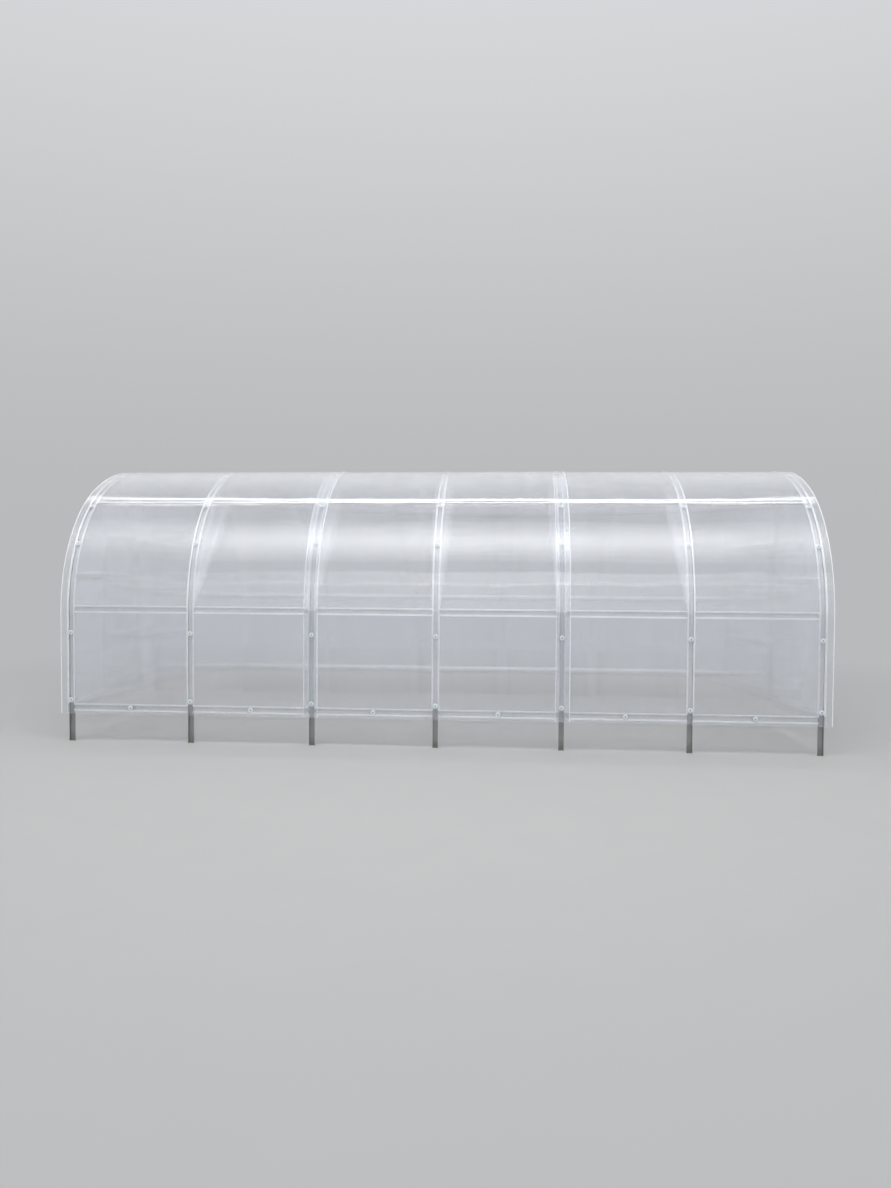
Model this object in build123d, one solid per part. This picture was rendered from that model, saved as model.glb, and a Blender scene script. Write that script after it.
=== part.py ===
# Polycarbonate greenhouse: seven galvanised arches on channel legs, five lines of purlins,
# three clear roof sheets that lap each other, and an end wall with a hinged door at each end.
#
# Millimetres. +Z is up, X runs along the greenhouse and Y across it; the front is at -Y.
# The origin is at the middle of the footprint, level with the undersides of the legs.

from build123d import *
from math import asin, atan2, cos, degrees, pi, radians, sin, sqrt
import os

# Driving sizes: the frame as a whole
BAY_LENGTH = 1000.0
BAY_COUNT = 6
FRAME_WIDTH = 3000.0
RAIL_HEIGHT = 280.0
WALL_HEIGHT = 770.0
SHOULDER_RADIUS = 1200.0
SHOULDER_ANGLE = 60.0

# Driving sizes: the hat profile that arches, purlins, rails, posts and doors are cut from
HAT_WIDTH = 60.0
HAT_DEPTH = 20.0
HAT_FLANGE = 12.0
HAT_STEEL = 1.0

# Driving sizes: legs
LEG_STEEL = 2.5
LEG_OVERLAP = 200.0

# Driving sizes: purlins and joints, as distances along the arch from the base rail
MID_PURLIN_AT = 807.0
UPPER_PURLIN_SHARE = 0.49
LOW_JOINT_AT = 815.0
JOINT_PLATE_LENGTH = 110.0
JOINT_PLATE_STEEL = 3.0

# Driving sizes: roof sheets
SHEET_THICKNESS = 4.0
SHEET_OVERHANG = 85.0
SHEET_LAP = 115.0
SHEET_BELOW_RAIL = 50.0

# Driving sizes: end walls
POST_OFFSET = 530.0
LINTEL_AT = 1380.0
SIDE_RAIL_AT = 1070.0

# Driving sizes: doors
DOOR_GAP = 5.0
DOOR_LOW_RAIL_AT = 480.0
DOOR_HIGH_RAIL_AT = 935.0

# Driving sizes: hinges
HINGE_HEIGHT = 90.0
HINGE_INSET = 190.0
HINGE_PLATE_WIDTH = 38.0
HINGE_STEEL = 2.0
HINGE_PIN_RADIUS = 3.0
HINGE_KNUCKLE_WALL = 2.5
HINGE_RUNNING_FIT = 0.05
HINGE_KNUCKLE_GAP = 0.5
HINGE_PIN_HEAD = 3.0

# Driving sizes: door handles
HANDLE_LENGTH = 130.0
HANDLE_REACH = 34.0
HANDLE_ROD_RADIUS = 5.0
HANDLE_BEND = 14.0
HANDLE_AT = 700.0
HANDLE_FOOT_RADIUS = 11.0
HANDLE_FOOT_THICKNESS = 3.0

# Named clearances
SEAT = 0.3
PURLIN_UNDER_CURVE = 0.7
ROOF_TO_END_SHEET = 1.0
CUTTER_REACH = 900.0
CUTTER_MARGIN = 5.0

# Sizes that follow
FRAME_LENGTH = BAY_LENGTH * BAY_COUNT
HALF_LENGTH = FRAME_LENGTH / 2
HALF_WIDTH = FRAME_WIDTH / 2
CROWN_ANGLE = 90.0 - SHOULDER_ANGLE
SHOULDER_Y = -HALF_WIDTH + SHOULDER_RADIUS
SHOULDER_Z = RAIL_HEIGHT + WALL_HEIGHT
CROWN_RADIUS = SHOULDER_RADIUS - SHOULDER_Y / cos(radians(SHOULDER_ANGLE))
CROWN_Z = SHOULDER_Z - (CROWN_RADIUS - SHOULDER_RADIUS) * sin(radians(SHOULDER_ANGLE))
SHOULDER_LENGTH = radians(SHOULDER_ANGLE) * SHOULDER_RADIUS
HALF_GIRTH = WALL_HEIGHT + SHOULDER_LENGTH + radians(CROWN_ANGLE) * CROWN_RADIUS
UPPER_PURLIN_AT = MID_PURLIN_AT + UPPER_PURLIN_SHARE * (HALF_GIRTH - MID_PURLIN_AT)
HIGH_JOINT_AT = (UPPER_PURLIN_AT + HALF_GIRTH) / 2

HAT_CHANNEL = HAT_WIDTH - 2 * HAT_FLANGE
LEG_INSIDE = HAT_CHANNEL + 2 * SEAT
LEG_WIDTH = LEG_INSIDE + 2 * LEG_STEEL
LEG_FRONT = -(HAT_STEEL + SEAT)
LEG_BACK = -(HAT_DEPTH + SEAT + LEG_STEEL)
RAIL_TOP = RAIL_HEIGHT + HAT_WIDTH / 2
ARCH_FOOT = RAIL_TOP + SEAT

END_FACE = HALF_LENGTH + HAT_WIDTH / 2
END_SHEET_INNER = END_FACE + SEAT
END_SHEET_OUTER = END_SHEET_INNER + SHEET_THICKNESS
DOORWAY_HALF = POST_OFFSET - HAT_WIDTH / 2
LINTEL_UNDER = RAIL_HEIGHT + LINTEL_AT - HAT_WIDTH / 2
DOOR_HALF = DOORWAY_HALF - DOOR_GAP
DOOR_BOTTOM = RAIL_TOP + DOOR_GAP
DOOR_TOP = LINTEL_UNDER - DOOR_GAP
HINGE_KNUCKLE_RADIUS = HINGE_PIN_RADIUS + HINGE_KNUCKLE_WALL
HINGE_AXIS_X = END_SHEET_OUTER + SEAT + HINGE_KNUCKLE_RADIUS
HINGE_AXIS_Y = DOORWAY_HALF - DOOR_GAP / 2

ARCH_STATIONS = [-HALF_LENGTH + i * BAY_LENGTH for i in range(BAY_COUNT + 1)]


def face_across_wall(points):
    """Face lying level at the top of the front wall: x along the house, v outward from it."""
    corners = [(x, -HALF_WIDTH - v, SHOULDER_Z) for x, v in points]
    return make_face(Polyline(*corners, close=True))


def along_arch(points, foot):
    """Solid that carries one cross-section up the front wall, over the roof and down the back."""
    section = face_across_wall(points)
    shoulder_axis = Axis((0, SHOULDER_Y, SHOULDER_Z), (-1, 0, 0))
    crown_axis = Axis((0, 0, CROWN_Z), (-1, 0, 0))
    wall = extrude(section, SHOULDER_Z - foot, dir=(0, 0, -1))
    shoulder = revolve(section, shoulder_axis, SHOULDER_ANGLE)
    crown = revolve(section.rotate(shoulder_axis, SHOULDER_ANGLE), crown_axis, 2 * CROWN_ANGLE)
    side = wall + shoulder
    return side + crown + mirror(side, about=Plane.XZ)


def rectangle(low_x, high_x, low_v, high_v):
    """Corners of a plain rectangle for along_arch."""
    return [(low_x, low_v), (high_x, low_v), (high_x, high_v), (low_x, high_v)]


def hat_outline():
    """Hat profile: flanges on the line v = 0, with the channel hanging below it."""
    edge = HAT_WIDTH / 2
    wall = HAT_CHANNEL / 2
    inside = wall - HAT_STEEL
    right = [(inside, HAT_STEEL - HAT_DEPTH), (inside, 0), (edge, 0), (edge, -HAT_STEEL)]
    right += [(wall, -HAT_STEEL), (wall, -HAT_DEPTH)]
    left = [(-u, v) for u, v in reversed(right)]
    return right + left


def channel_outline(width, front, back, steel):
    """U channel that is open on its front side."""
    edge = width / 2
    inside = edge - steel
    right = [(inside, back + steel), (inside, front), (edge, front), (edge, back)]
    left = [(-u, v) for u, v in reversed(right)]
    return right + left


def bar(outline, start, end, outward):
    """Straight bar from start to end; the outline's +v side faces outward."""
    run = Vector(*end) - Vector(*start)
    plane = Plane(origin=start, x_dir=Vector(*outward).cross(run), z_dir=run)
    if plane.y_dir.dot(Vector(*outward)) < 0:
        plane = Plane(origin=start, x_dir=-plane.x_dir, z_dir=run)
    return extrude(plane * make_face(Polyline(*outline, close=True)), run.length)


def station(along):
    """Place and outward direction on the front half of the arch line, this far from the rail."""
    if along <= WALL_HEIGHT:
        return (-HALF_WIDTH, RAIL_HEIGHT + along), (-1.0, 0.0)
    if along <= WALL_HEIGHT + SHOULDER_LENGTH:
        turn = (along - WALL_HEIGHT) / SHOULDER_RADIUS
        centre = (SHOULDER_Y, SHOULDER_Z)
        radius = SHOULDER_RADIUS
    else:
        turn = radians(SHOULDER_ANGLE) + (along - WALL_HEIGHT - SHOULDER_LENGTH) / CROWN_RADIUS
        centre = (0.0, CROWN_Z)
        radius = CROWN_RADIUS
    out = (-cos(turn), sin(turn))
    return (centre[0] + radius * out[0], centre[1] + radius * out[1]), out


def flat_under_curve(along):
    """How far a flat hat face drops so that its two edges stay clear under the curved sheet."""
    if along <= WALL_HEIGHT - HAT_WIDTH / 2:
        return 0.0
    radius = SHOULDER_RADIUS if along <= WALL_HEIGHT + SHOULDER_LENGTH else CROWN_RADIUS
    return PURLIN_UNDER_CURVE + radius - sqrt(radius**2 - (HAT_WIDTH / 2) ** 2)


def bays():
    """Pairs of neighbouring arch positions."""
    return zip(ARCH_STATIONS[:-1], ARCH_STATIONS[1:])


def purlin(along, end_gap):
    """One front purlin or rail line: a hat bar in each bay, between the arches or legs."""
    (y, z), (out_y, out_z) = station(along)
    drop = flat_under_curve(along)
    centre_y = y - drop * out_y
    centre_z = z - drop * out_z
    pieces = []
    for left, right in bays():
        start = (left + end_gap, centre_y, centre_z)
        end = (right - end_gap, centre_y, centre_z)
        pieces.append(bar(hat_outline(), start, end, (0, out_y, out_z)))
    return pieces


def leg(x):
    """One front leg: a channel that stands behind the foot of its arch and holds it."""
    outline = channel_outline(LEG_WIDTH, LEG_FRONT, LEG_BACK, LEG_STEEL)
    return bar(outline, (x, -HALF_WIDTH, 0), (x, -HALF_WIDTH, RAIL_TOP + LEG_OVERLAP), (0, -1, 0))


def across_front(along, length):
    """Box around the front half of an arch at x = 0, this long on the line of the arch."""
    (y, z), (out_y, out_z) = station(along)
    place = Plane(origin=(0, y, z), x_dir=(1, 0, 0), z_dir=(0, out_y, out_z))
    return place * Box(2 * HAT_WIDTH, length, 4 * HAT_DEPTH)


def arch():
    """Arch at x = 0: two side posts, two shoulder lengths and a crown, which meet end to end."""
    line = along_arch(hat_outline(), ARCH_FOOT)
    for along in (LOW_JOINT_AT, HIGH_JOINT_AT):
        gap = across_front(along, SEAT)
        line = line - gap - mirror(gap, about=Plane.XZ)
    return line


def joint_plates():
    """Plates behind the two joints in the front half of the arch at x = 0."""
    half = HAT_CHANNEL / 2
    outer = -(HAT_DEPTH + SEAT)
    band = along_arch(rectangle(-half, half, outer - JOINT_PLATE_STEEL, outer), ARCH_FOOT)
    return [band & across_front(along, JOINT_PLATE_LENGTH) for along in (LOW_JOINT_AT, HIGH_JOINT_AT)]


def strut():
    """Front strut at x = 0: a hat bar that braces the arch from one joint plate to the other."""
    (foot_y, foot_z), _ = station(LOW_JOINT_AT)
    (head_y, head_z), _ = station(HIGH_JOINT_AT)
    run = Vector(0, head_y - foot_y, head_z - foot_z)
    outward = (0, -run.Z, run.Y)
    length = bar(hat_outline(), (0, foot_y, foot_z), (0, head_y, head_z), outward)
    inner = -(HAT_DEPTH + SEAT + JOINT_PLATE_STEEL + SEAT)
    outside = along_arch(rectangle(-HAT_WIDTH, HAT_WIDTH, inner, CUTTER_REACH), ARCH_FOOT)
    return (length - outside).solids().sort_by(SortBy.VOLUME)[-1]


def sheet_slope():
    """Rise of a lapping sheet, for each unit of length, that lifts it over its neighbour."""
    return (SHEET_THICKNESS + SEAT) / (sheet_length() - SHEET_LAP)


def sheet_length():
    """Length of one roof sheet along the house, from three equal sheets and two laps."""
    return (FRAME_LENGTH + 2 * SHEET_OVERHANG + 2 * SHEET_LAP) / 3


def roof_sheet(order):
    """Roof sheet number 0, 1 or 2 from the left; each laps over the next one to its right."""
    left = -HALF_LENGTH - SHEET_OVERHANG + order * (sheet_length() - SHEET_LAP)
    right = left + sheet_length()
    lift = 0.0 if order == 2 else sheet_slope() * sheet_length()
    low = SEAT
    high = SEAT + lift
    outline = [(left, low), (right, high), (right, high + SHEET_THICKNESS), (left, low + SHEET_THICKNESS)]
    return along_arch(outline, RAIL_HEIGHT - SHEET_BELOW_RAIL)


def outside_of(inset):
    """Cutter for the right end wall: all that lies outside the arch line, less an inset."""
    low = HALF_LENGTH - HAT_WIDTH
    high = END_SHEET_OUTER + CUTTER_MARGIN
    return along_arch(rectangle(low, high, -inset, CUTTER_REACH), 0)


def end_post(y):
    """Door post from the end rail up to the inside of the end arch."""
    top = CROWN_Z + CROWN_RADIUS
    post = bar(hat_outline(), (END_FACE, y, RAIL_TOP + SEAT), (END_FACE, y, top), (1, 0, 0))
    return (post - outside_of(HAT_DEPTH + SEAT)).solids().sort_by(SortBy.VOLUME)[-1]


def end_rail():
    """Base rail across the end wall, between the two corner legs."""
    reach = HALF_WIDTH + LEG_BACK - SEAT
    return bar(hat_outline(), (END_FACE, -reach, RAIL_HEIGHT), (END_FACE, reach, RAIL_HEIGHT), (1, 0, 0))


def side_rail():
    """Front cross rail of the end wall, between the end arch and the door post."""
    z = RAIL_HEIGHT + SIDE_RAIL_AT
    inner = -(POST_OFFSET + HAT_WIDTH / 2 + SEAT)
    rail = bar(hat_outline(), (END_FACE, -HALF_WIDTH, z), (END_FACE, inner, z), (1, 0, 0))
    return (rail - outside_of(HAT_DEPTH + SEAT)).solids().sort_by(SortBy.VOLUME)[-1]


def lintel():
    """Rail over the doorway, between the two door posts."""
    reach = DOORWAY_HALF - SEAT
    z = RAIL_HEIGHT + LINTEL_AT
    return bar(hat_outline(), (END_FACE, -reach, z), (END_FACE, reach, z), (1, 0, 0))


def end_panel(low_y, high_y, low_z):
    """Flat sheet of the end wall, cut to the line of the roof."""
    high_z = CROWN_Z + CROWN_RADIUS
    corner = Vector(END_SHEET_INNER, low_y, low_z)
    size = Vector(SHEET_THICKNESS, high_y - low_y, high_z - low_z)
    panel = Pos(corner + size / 2) * Box(size.X, size.Y, size.Z)
    return (panel - outside_of(ROOF_TO_END_SHEET)).solids().sort_by(SortBy.VOLUME)[-1]


def door_frame():
    """Welded door leaf: two stiles and four rails of hat profile."""
    stile_y = DOOR_HALF - HAT_WIDTH / 2
    reach = DOOR_HALF - HAT_WIDTH
    low = DOOR_BOTTOM + HAT_WIDTH / 2
    high = DOOR_TOP - HAT_WIDTH / 2
    rails = [low, RAIL_HEIGHT + DOOR_LOW_RAIL_AT, RAIL_HEIGHT + DOOR_HIGH_RAIL_AT, high]
    frame = bar(hat_outline(), (END_FACE, -stile_y, DOOR_BOTTOM), (END_FACE, -stile_y, DOOR_TOP), (1, 0, 0))
    frame += bar(hat_outline(), (END_FACE, stile_y, DOOR_BOTTOM), (END_FACE, stile_y, DOOR_TOP), (1, 0, 0))
    for z in rails:
        frame += bar(hat_outline(), (END_FACE, -reach, z), (END_FACE, reach, z), (1, 0, 0))
    return frame


def door_sheet():
    """Clear sheet on the outer face of the door leaf."""
    centre = ((END_SHEET_INNER + END_SHEET_OUTER) / 2, 0, (DOOR_BOTTOM + DOOR_TOP) / 2)
    return Pos(centre) * Box(SHEET_THICKNESS, 2 * DOOR_HALF, DOOR_TOP - DOOR_BOTTOM)


def hinge_heights():
    """Middle heights of the lower and the upper hinge."""
    return [DOOR_BOTTOM + HINGE_INSET, DOOR_TOP - HINGE_INSET]


def upright_rod(z, radius, height):
    """Round upright piece on the hinge axis, centred on a height."""
    return Pos(HINGE_AXIS_X, HINGE_AXIS_Y, z) * Cylinder(radius, height)


def hinge_plate(z, side, tongue_heights):
    """Flat hinge leaf on one side of the axis, with a tongue out to each of its knuckles."""
    clear = HINGE_KNUCKLE_RADIUS + HINGE_KNUCKLE_GAP
    x = END_SHEET_OUTER + SEAT + HINGE_STEEL / 2
    y = HINGE_AXIS_Y + side * (clear + HINGE_PLATE_WIDTH) / 2
    plate = Pos(x, y, z) * Box(HINGE_STEEL, HINGE_PLATE_WIDTH - clear, HINGE_HEIGHT)
    for low, high in tongue_heights:
        width = clear + HINGE_STEEL
        tongue_y = HINGE_AXIS_Y + side * width / 2
        plate += Pos(x, tongue_y, z + (low + high) / 2) * Box(HINGE_STEEL, width, high - low)
    return plate


def fixed_hinge(z):
    """Post side of a hinge: plate, the two outer knuckles and the pin that is fast in them."""
    third = HINGE_HEIGHT / 6
    spans = [(-HINGE_HEIGHT / 2, -third - HINGE_KNUCKLE_GAP), (third + HINGE_KNUCKLE_GAP, HINGE_HEIGHT / 2)]
    hinge = hinge_plate(z, 1, spans)
    for low, high in spans:
        hinge += upright_rod(z + (low + high) / 2, HINGE_KNUCKLE_RADIUS, high - low)
    return hinge + upright_rod(z, HINGE_PIN_RADIUS, HINGE_HEIGHT + 2 * HINGE_PIN_HEAD)


def moving_hinge(z):
    """Door side of a hinge: plate and the middle knuckle that turns on the pin."""
    third = HINGE_HEIGHT / 6
    hinge = hinge_plate(z, -1, [(-third, third)])
    hinge += upright_rod(z, HINGE_KNUCKLE_RADIUS, 2 * third)
    return hinge - upright_rod(z, HINGE_PIN_RADIUS + HINGE_RUNNING_FIT, HINGE_HEIGHT)


def handle():
    """Bow handle on the free edge of the door, a bent rod on two round feet."""
    x = END_SHEET_OUTER + SEAT
    y = -(DOOR_HALF - HAT_WIDTH / 2)
    low = RAIL_HEIGHT + HANDLE_AT - HANDLE_LENGTH / 2
    high = low + HANDLE_LENGTH
    out = x + HANDLE_REACH
    route = FilletPolyline((x, y, low), (out, y, low), (out, y, high), (x, y, high), radius=HANDLE_BEND)
    rod = sweep(Plane(origin=(x, y, low), z_dir=(1, 0, 0)) * Circle(HANDLE_ROD_RADIUS), path=route)
    for z in (low, high):
        place = Plane(origin=(x + HANDLE_FOOT_THICKNESS / 2, y, z), z_dir=(1, 0, 0))
        rod += place * Cylinder(HANDLE_FOOT_RADIUS, HANDLE_FOOT_THICKNESS)
    return rod


def to_back(pieces):
    """Copies of front pieces on the back of the house."""
    return [mirror(piece, about=Plane.XZ) for piece in pieces]


def to_left(piece):
    """Right end piece turned round to the left end, so that each door hangs on its own right."""
    return piece.rotate(Axis.Z, 180)


def as_node(pieces):
    """One node from one piece or from several that don't touch."""
    solids = [solid for piece in pieces for solid in piece.solids()]
    return solids[0] if len(solids) == 1 else Compound(children=solids)


def frame_nodes():
    """Arches, legs, struts, purlins and rails."""
    lengths = arch()
    plates = joint_plates()
    low_plate = plates[:1]
    end_arch = [lengths] + low_plate + to_back(low_plate)
    inner_arch = [lengths]
    nodes = {}
    for number, x in enumerate(ARCH_STATIONS, 1):
        pieces = end_arch if number in (1, len(ARCH_STATIONS)) else inner_arch
        nodes[f"arch_{number}"] = [Pos(x, 0, 0) * piece for piece in pieces]
    legs = [leg(x) for x in ARCH_STATIONS]
    inner = ARCH_STATIONS[1:-1]
    braced = [strut()] + plates
    struts = [Pos(x, 0, 0) * piece for x in inner for piece in braced]
    at_leg = LEG_WIDTH / 2 + SEAT
    at_arch = HAT_WIDTH / 2 + SEAT
    lines = {
        "legs": legs,
        "struts": struts,
        "base_rail": purlin(0.0, at_leg),
        "mid_purlin": purlin(MID_PURLIN_AT, at_arch),
        "upper_purlin": purlin(UPPER_PURLIN_AT, at_arch),
    }
    for name, pieces in lines.items():
        nodes[f"{name}_front"] = pieces
        nodes[f"{name}_back"] = to_back(pieces)
    nodes["ridge_purlin"] = purlin(HALF_GIRTH, at_arch)
    return nodes


def roof_nodes():
    """Three roof sheets."""
    names = ["roof_sheet_left", "roof_sheet_middle", "roof_sheet_right"]
    return {name: [roof_sheet(order)] for order, name in enumerate(names)}


def end_nodes():
    """Both end walls with their doors."""
    rail = side_rail()
    below = RAIL_HEIGHT - SHEET_BELOW_RAIL
    right = {
        "end_rail": [end_rail()],
        "door_posts": [end_post(-POST_OFFSET), end_post(POST_OFFSET)],
        "side_rails": [rail, mirror(rail, about=Plane.XZ)],
        "lintel": [lintel()],
        "end_panel_near_handle": [end_panel(-HALF_WIDTH, -DOORWAY_HALF, below)],
        "end_panel_near_hinges": [end_panel(DOORWAY_HALF, HALF_WIDTH, below)],
        "end_panel_over_door": [end_panel(SEAT - DOORWAY_HALF, DOORWAY_HALF - SEAT, LINTEL_UNDER)],
        "door_frame": [door_frame()],
        "door_sheet": [door_sheet()],
        "door_handle": [handle()],
        "post_hinges": [fixed_hinge(z) for z in hinge_heights()],
        "door_hinges": [moving_hinge(z) for z in hinge_heights()],
    }
    nodes = {}
    for name, pieces in right.items():
        nodes[f"right_{name}"] = pieces
        nodes[f"left_{name}"] = [to_left(piece) for piece in pieces]
    return nodes


def main():
    os.makedirs("parts", exist_ok=True)
    nodes = {**frame_nodes(), **roof_nodes(), **end_nodes()}
    for name, pieces in nodes.items():
        export_step(as_node(pieces), f"parts/{name}.step")


main()
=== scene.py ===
# Looks of the arched polycarbonate greenhouse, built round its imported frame.
# Metres. +Z is up, X runs along the house and Y across it; the front wall is at -Y.

from math import asin, cos, pi, radians, sin, sqrt

import bpy
from mathutils import Matrix, Vector


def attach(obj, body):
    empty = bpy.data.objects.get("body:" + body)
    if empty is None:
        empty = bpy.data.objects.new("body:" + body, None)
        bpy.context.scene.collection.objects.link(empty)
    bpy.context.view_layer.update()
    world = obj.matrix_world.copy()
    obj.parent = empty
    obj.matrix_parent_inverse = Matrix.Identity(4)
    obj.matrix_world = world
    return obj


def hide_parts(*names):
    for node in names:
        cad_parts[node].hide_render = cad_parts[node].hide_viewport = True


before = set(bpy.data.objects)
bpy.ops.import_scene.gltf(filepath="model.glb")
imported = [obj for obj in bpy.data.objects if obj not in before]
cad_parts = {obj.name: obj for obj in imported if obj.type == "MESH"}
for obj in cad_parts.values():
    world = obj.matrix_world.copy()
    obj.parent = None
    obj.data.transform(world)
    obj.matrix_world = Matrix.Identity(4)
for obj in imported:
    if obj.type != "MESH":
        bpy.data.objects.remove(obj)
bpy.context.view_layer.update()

# Frame
BAY = 1.0
BAYS = 6
HALF_LENGTH = BAY * BAYS / 2
HALF_WIDTH = 1.5
RAIL_HEIGHT = 0.28
WALL_HEIGHT = 0.77
SHOULDER_RADIUS = 1.2
SHOULDER_TURN = radians(60)
SHOULDER_Y = SHOULDER_RADIUS - HALF_WIDTH
SHOULDER_Z = RAIL_HEIGHT + WALL_HEIGHT
CROWN_RADIUS = SHOULDER_RADIUS - SHOULDER_Y / cos(SHOULDER_TURN)
CROWN_Z = SHOULDER_Z - (CROWN_RADIUS - SHOULDER_RADIUS) * sin(SHOULDER_TURN)
SHOULDER_LENGTH = SHOULDER_TURN * SHOULDER_RADIUS
HALF_GIRTH = WALL_HEIGHT + SHOULDER_LENGTH + (pi / 2 - SHOULDER_TURN) * CROWN_RADIUS
ARCHES = [BAY * number - HALF_LENGTH for number in range(BAYS + 1)]

# Hat profile
HAT_WIDTH = 0.060
HAT_DEPTH = 0.020
HAT_FLANGE = 0.012
HAT_STEEL = 0.001
HAT_BEND = 0.0012
SEAT = 0.0003
JOINT_GAP = 0.0006
ARCH_STEP = 0.04
CREASE = radians(35)

# Places along the arch, from the base rail
ARCH_FOOT = HAT_WIDTH / 2 + SEAT
MID_PURLIN_AT = 0.807
UPPER_PURLIN_AT = MID_PURLIN_AT + 0.49 * (HALF_GIRTH - MID_PURLIN_AT)
LOW_JOINT_AT = 0.815
HIGH_JOINT_AT = (UPPER_PURLIN_AT + HALF_GIRTH) / 2
PURLIN_UNDER_CURVE = 0.0007
LEG_SIDE = 0.0208
CORNER_REACH = 1.4769

# Zinc
CRYSTALS_PER_METRE = 70.0
CRYSTAL_TILT = 0.10
GRAIN_PER_METRE = 420.0
PALE_ZINC = (1.0, 1.0, 0.99)
BLUISH_ZINC = (0.95, 0.97, 1.0)
# Tint of the painted shade in the hat profile's groove
GROOVE_SHADE_ZINC = (0.96, 0.99, 1.0)
SPLASHED_SOIL = (0.14, 0.12, 0.085, 1.0)

# Clear sheets
SHEET = 0.004
OVERHANG = 0.085
LAP = 0.115
BELOW_RAIL = 0.05
ROOF_SHEET = (2 * (HALF_LENGTH + OVERHANG) + 2 * LAP) / 3
ROOF_SLOPE = (SHEET + SEAT) / (ROOF_SHEET - LAP)
FLUTE = 0.006
FLUTE_TILT = 0.13
BULGE = 0.0018
SHEET_STEP = 0.05
STREAK = ((11.0, 0.35, 0.35), (0.35, 11.0, 0.35))
SLOW_WAVE = 0.060
DRAW_LINES = 0.030
PLASTIC_INDEX = 1.55
CLEAR_TINT = (0.918, 0.931, 0.957, 1.0)
CLEARER_TINT = (0.948, 0.956, 0.975, 1.0)
WEB_TINT = (0.74, 0.78, 0.85, 1.0)
HAZE_SQUARE_ON = 0.035
HAZE_EDGE_ON = 0.52
LIGHT_THROUGH_SHEET = 0.88

# End walls and doors
END_FACE = HALF_LENGTH + HAT_WIDTH / 2
END_OUTER = END_FACE + SEAT + SHEET
POST_Y = 0.53
DOORWAY = POST_Y - HAT_WIDTH / 2
DOOR_HALF = DOORWAY - 0.005
DOOR_BOTTOM = 0.315
DOOR_TOP = 1.625
LINTEL_Z = 1.66
ROOF_TO_PANE = 0.001
SIDE_RAIL_Z = 1.35

# Photograph
PHOTO_LENS = 27.683
CAMERA_PLACE = (0.6106, -8.7275, 1.4902)
CAMERA_TURN = 4.223
CAMERA_DIP = 2.029
CAMERA_ROLL = 0.328


def arch_line(along, rise=0.0):
    """Point and outward direction on the whole arch, this far round from the front base rail."""
    front = along <= HALF_GIRTH
    run = along if front else 2 * HALF_GIRTH - along
    if run <= WALL_HEIGHT:
        turn, centre_y, centre_z, radius = 0.0, SHOULDER_Y, RAIL_HEIGHT + run, SHOULDER_RADIUS
    elif run <= WALL_HEIGHT + SHOULDER_LENGTH:
        turn = (run - WALL_HEIGHT) / SHOULDER_RADIUS
        centre_y, centre_z, radius = SHOULDER_Y, SHOULDER_Z, SHOULDER_RADIUS
    else:
        turn = SHOULDER_TURN + (run - WALL_HEIGHT - SHOULDER_LENGTH) / CROWN_RADIUS
        centre_y, centre_z, radius = 0.0, CROWN_Z, CROWN_RADIUS
    side = 1 if front else -1
    outward = Vector((0, -cos(turn) * side, sin(turn)))
    place = Vector((0, side * centre_y, centre_z)) + radius * outward
    return place + rise * outward, outward


def spread(low, high, step):
    """Evenly spaced numbers from low to high, no further apart than step."""
    count = max(1, round((high - low) / step + 0.499))
    return [low + (high - low) * i / count for i in range(count + 1)]


# ---------------------------------------------------------------------------------------------
# Node trees


class Graph:
    """Adds nodes to a tree. A value that is a socket is linked, and any other is set."""

    def __init__(self, tree):
        self.tree = tree

    def add(self, kind, sockets=None, **settings):
        node = self.tree.nodes.new(kind)
        for name, value in settings.items():
            setattr(node, name, value)
        for key, value in (sockets or {}).items():
            self.feed(node.inputs[key], value)
        return node

    def feed(self, socket, value):
        if isinstance(value, bpy.types.NodeSocket):
            self.tree.links.new(value, socket)
        else:
            socket.default_value = value

    def math(self, operation, first, second=0.0, clamp=False):
        node = self.add("ShaderNodeMath", {0: first, 1: second}, operation=operation, use_clamp=clamp)
        return node.outputs[0]

    def vector(self, operation, first, second=(0.0, 0.0, 0.0)):
        node = self.add("ShaderNodeVectorMath", {0: first, 1: second}, operation=operation)
        return node.outputs["Vector"]

    def scaled(self, vector, factor):
        node = self.add("ShaderNodeVectorMath", {0: vector, "Scale": factor}, operation="SCALE")
        return node.outputs["Vector"]

    def ranged(self, value, low, high, to_low=0.0, to_high=1.0):
        sockets = {"Value": value, "From Min": low, "From Max": high, "To Min": to_low, "To Max": to_high}
        return self.add("ShaderNodeMapRange", sockets, interpolation_type="SMOOTHSTEP").outputs[0]

    def mix(self, factor, first, second):
        return self.add("ShaderNodeMix", {0: factor, 6: first, 7: second}, data_type="RGBA").outputs[2]

    def noise(self, place, scale, detail=3.0, output="Fac"):
        sockets = {"Vector": place, "Scale": scale, "Detail": detail}
        return self.add("ShaderNodeTexNoise", sockets).outputs[output]

    def parts(self, vector):
        return self.add("ShaderNodeSeparateXYZ", {0: vector}).outputs

    def joined(self, x=0.0, y=0.0, z=0.0):
        return self.add("ShaderNodeCombineXYZ", {0: x, 1: y, 2: z}).outputs[0]

    def outward(self):
        """The outward direction that a guide's points carry."""
        named = {"Name": "outward"}
        return self.add("GeometryNodeInputNamedAttribute", named, data_type="FLOAT_VECTOR").outputs[0]

    def straight_look(self):
        """One for rays from the camera, in a mirror or through glass, and none for light on the house."""
        rays = self.add("ShaderNodeLightPath").outputs
        seen = self.math("ADD", rays["Is Camera Ray"], rays["Is Glossy Ray"])
        return self.math("ADD", seen, rays["Is Transmission Ray"], clamp=True)


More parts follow.
